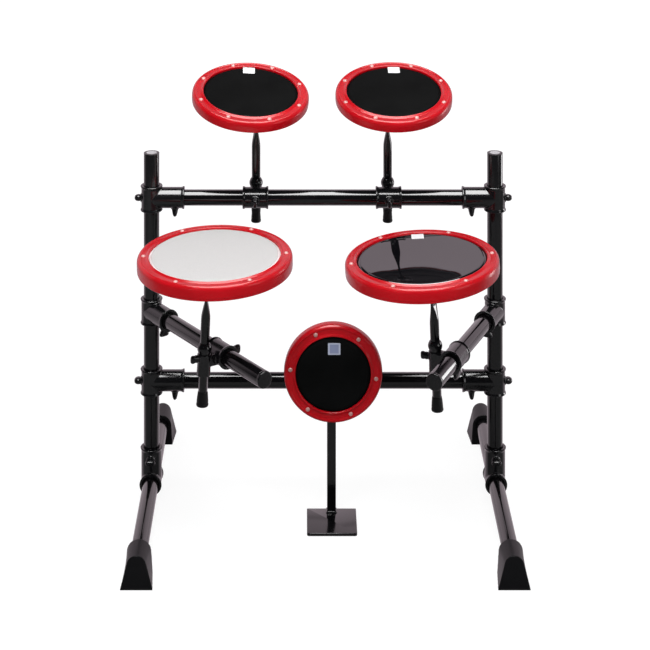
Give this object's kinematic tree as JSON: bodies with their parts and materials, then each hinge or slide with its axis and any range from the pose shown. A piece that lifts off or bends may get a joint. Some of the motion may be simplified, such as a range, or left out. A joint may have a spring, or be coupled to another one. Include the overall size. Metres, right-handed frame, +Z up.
{
  "type": "practice drum pad set",
  "caption": "Practice drum-pad set: round pads with red hoops on height and tilt adjustable rods, carried by a black tubular rack, with a bass pad on its own floor post.",
  "frame": {"origin": "on the floor, under the middle of the bounding box of the whole set", "axes": "+X to the player's right, +Y away from the player, +Z up"},
  "size_m": [0.7748, 0.6665, 0.8666],
  "materials": {
    "enamel": "gloss",
    "moulding": "satin",
    "knob": "satin",
    "hoop": "gloss",
    "base": "matte",
    "dark_head": "matte",
    "coated_head": "matte",
    "mirror_head": "mirror gloss",
    "rubber": "matte",
    "steel": "bright"
  },
  "bodies": {
    "frame": {"upright_left": "enamel", "upright_right": "enamel", "lower_bar": "enamel", "clamp_lower_left": "moulding", "clamp_lower_right": "moulding"},
    "top_carriage": {"top_bar": "enamel", "clamp_top_left": "moulding", "clamp_top_right": "moulding"},
    "wing_screw_top_left": {"wing_screw_top_left": "knob"},
    "wing_screw_top_right": {"wing_screw_top_right": "knob"},
    "leg_left": {"clamp_leg_left": "moulding", "leg_tube_left": "enamel", "foot_front_left": "rubber", "foot_rear_left": "rubber"},
    "arm_left": {"clamp_arm_left": "moulding", "arm_tube_left": "enamel"},
    "leg_right": {"clamp_leg_right": "moulding", "leg_tube_right": "enamel", "foot_front_right": "rubber", "foot_rear_right": "rubber"},
    "arm_right": {"clamp_arm_right": "moulding", "arm_tube_right": "enamel"},
    "bass_tower": {"bass_post": "enamel", "bass_plate": "enamel", "bass_bar_clamp": "moulding", "base_bass": "base", "hoop_bass": "hoop", "head_bass": "dark_head"},
    "tom_left_clamp": {"rod_clamp_tom_left": "moulding"},
    "tom_left_collar": {"rod_collar_tom_left": "moulding"},
    "tom_left_rod": {"rod_tom_left": "enamel"},
    "tom_left_pad": {"yoke_tom_left": "enamel", "base_tom_left": "base", "hoop_tom_left": "hoop", "head_tom_left": "dark_head"},
    "tom_left_tilt_screw": {"tilt_screw_tom_left": "knob"},
    "tom_right_clamp": {"rod_clamp_tom_right": "moulding"},
    "tom_right_collar": {"rod_collar_tom_right": "moulding"},
    "tom_right_rod": {"rod_tom_right": "enamel"},
    "tom_right_pad": {"yoke_tom_right": "enamel", "base_tom_right": "base", "hoop_tom_right": "hoop", "head_tom_right": "dark_head"},
    "tom_right_tilt_screw": {"tilt_screw_tom_right": "knob"},
    "snare_clamp": {"rod_clamp_snare": "moulding"},
    "snare_collar": {"rod_collar_snare": "moulding"},
    "snare_rod": {"rod_snare": "enamel"},
    "snare_pad": {"yoke_snare": "enamel", "base_snare": "base", "hoop_snare": "hoop", "head_snare": "coated_head"},
    "snare_tilt_screw": {"tilt_screw_snare": "knob"},
    "floor_clamp": {"rod_clamp_floor": "moulding"},
    "floor_collar": {"rod_collar_floor": "moulding"},
    "floor_rod": {"rod_floor": "enamel"},
    "floor_pad": {"yoke_floor": "enamel", "base_floor": "base", "hoop_floor": "hoop", "head_floor": "mirror_head"},
    "floor_tilt_screw": {"tilt_screw_floor": "knob"}
  },
  "joints": [
    {"name": "arm_swing_left", "type": "hinge", "parent": "frame", "child": "arm_left", "pos_m": [-0.355, 0.043, 0.39], "axis": [0, 0, 1], "range_deg": [-35, 12]},
    {"name": "arm_swing_right", "type": "hinge", "parent": "frame", "child": "arm_right", "pos_m": [0.355, 0.043, 0.39], "axis": [0, 0, -1], "range_deg": [-35, 12]},
    {"name": "bar_height", "type": "slide", "parent": "frame", "child": "top_carriage", "axis": [0, 0, 1], "range_m": [-0.08, 0.05]},
    {"name": "bass_slide", "type": "slide", "parent": "frame", "child": "bass_tower", "axis": [1, 0, 0], "range_m": [-0.04, 0.04]},
    {"name": "floor_clamp_slide", "type": "slide", "parent": "arm_right", "child": "floor_clamp", "axis": [-0.4147, -0.91, 0], "range_m": [-0.05, 0.05]},
    {"name": "floor_rod_swivel", "type": "hinge", "parent": "floor_clamp", "child": "floor_collar", "pos_m": [0.2162, -0.16518, 0.38846], "axis": [-0.0349, 0.0159, 0.9993], "range_deg": [-90, 90]},
    {"name": "floor_rod_height", "type": "slide", "parent": "floor_collar", "child": "floor_rod", "axis": [-0.0349, 0.0159, 0.9993], "range_m": [-0.025, 0.03]},
    {"name": "floor_pad_tilt", "type": "hinge", "parent": "floor_rod", "child": "floor_pad", "pos_m": [0.2113, -0.16295, 0.52876], "axis": [0.8654, -0.4997, 0.0382], "range_deg": [-15, 15]},
    {"name": "floor_screw_turn", "type": "hinge", "parent": "floor_pad", "child": "floor_tilt_screw", "pos_m": [0.2113, -0.16295, 0.52876], "axis": [0.8654, -0.4997, 0.0382], "range_deg": [0, 270]},
    {"name": "snare_clamp_slide", "type": "slide", "parent": "arm_left", "child": "snare_clamp", "axis": [0.6004, -0.7997, 0], "range_m": [-0.05, 0.05]},
    {"name": "snare_rod_swivel", "type": "hinge", "parent": "snare_clamp", "child": "snare_collar", "pos_m": [-0.23324, -0.18571, 0.39192], "axis": [0.0384, 0.0288, 0.9988], "range_deg": [-90, 90]},
    {"name": "snare_rod_height", "type": "slide", "parent": "snare_collar", "child": "snare_rod", "axis": [0.0384, 0.0288, 0.9988], "range_m": [-0.04, 0.025]},
    {"name": "snare_pad_tilt", "type": "hinge", "parent": "snare_rod", "child": "snare_pad", "pos_m": [-0.22731, -0.18125, 0.54634], "axis": [0.9999, 0.001, 0.0157], "range_deg": [-15, 15]},
    {"name": "snare_screw_turn", "type": "hinge", "parent": "snare_pad", "child": "snare_tilt_screw", "pos_m": [-0.22731, -0.18125, 0.54634], "axis": [0.9999, 0.001, 0.0157], "range_deg": [0, 270]},
    {"name": "tom_left_clamp_slide", "type": "slide", "parent": "top_carriage", "child": "tom_left_clamp", "axis": [-1, 0, 0], "range_m": [-0.015, 0.04]},
    {"name": "tom_left_rod_swivel", "type": "hinge", "parent": "tom_left_clamp", "child": "tom_left_collar", "pos_m": [-0.14, 0.083, 0.623], "axis": [0, 0, 1], "range_deg": [-90, 90]},
    {"name": "tom_left_rod_height", "type": "slide", "parent": "tom_left_collar", "child": "tom_left_rod", "axis": [0, 0, 1], "range_m": [-0.055, 0]},
    {"name": "tom_left_pad_tilt", "type": "hinge", "parent": "tom_left_rod", "child": "tom_left_pad", "pos_m": [-0.14, 0.083, 0.7965], "axis": [0.9711, 0.2385, 0], "range_deg": [-20, 20]},
    {"name": "tom_left_screw_turn", "type": "hinge", "parent": "tom_left_pad", "child": "tom_left_tilt_screw", "pos_m": [-0.14, 0.083, 0.7965], "axis": [0.9711, 0.2385, 0], "range_deg": [0, 270]},
    {"name": "tom_right_clamp_slide", "type": "slide", "parent": "top_carriage", "child": "tom_right_clamp", "axis": [1, 0, 0], "range_m": [-0.015, 0.04]},
    {"name": "tom_right_rod_swivel", "type": "hinge", "parent": "tom_right_clamp", "child": "tom_right_collar", "pos_m": [0.135, 0.083, 0.623], "axis": [0, 0, 1], "range_deg": [-90, 90]},
    {"name": "tom_right_rod_height", "type": "slide", "parent": "tom_right_collar", "child": "tom_right_rod", "axis": [0, 0, 1], "range_m": [-0.055, 0]},
    {"name": "tom_right_pad_tilt", "type": "hinge", "parent": "tom_right_rod", "child": "tom_right_pad", "pos_m": [0.135, 0.083, 0.7965], "axis": [1, 0, 0], "range_deg": [-20, 20]},
    {"name": "tom_right_screw_turn", "type": "hinge", "parent": "tom_right_pad", "child": "tom_right_tilt_screw", "pos_m": [0.135, 0.083, 0.7965], "axis": [1, 0, 0], "range_deg": [0, 270]},
    {"name": "leg_fold_left", "type": "hinge", "parent": "frame", "child": "leg_left", "pos_m": [-0.355, 0.043, 0.041], "axis": [0, 0, 1], "range_deg": [-90, 45]},
    {"name": "leg_fold_right", "type": "hinge", "parent": "frame", "child": "leg_right", "pos_m": [0.355, 0.043, 0.041], "axis": [0, 0, -1], "range_deg": [-90, 45]},
    {"name": "wing_turn_left", "type": "hinge", "parent": "top_carriage", "child": "wing_screw_top_left", "pos_m": [-0.3764, 0.043, 0.623], "axis": [-1, 0, 0], "range_deg": [0, 270]},
    {"name": "wing_turn_right", "type": "hinge", "parent": "top_carriage", "child": "wing_screw_top_right", "pos_m": [0.3764, 0.043, 0.623], "axis": [1, 0, 0], "range_deg": [0, 270]}
  ]
}
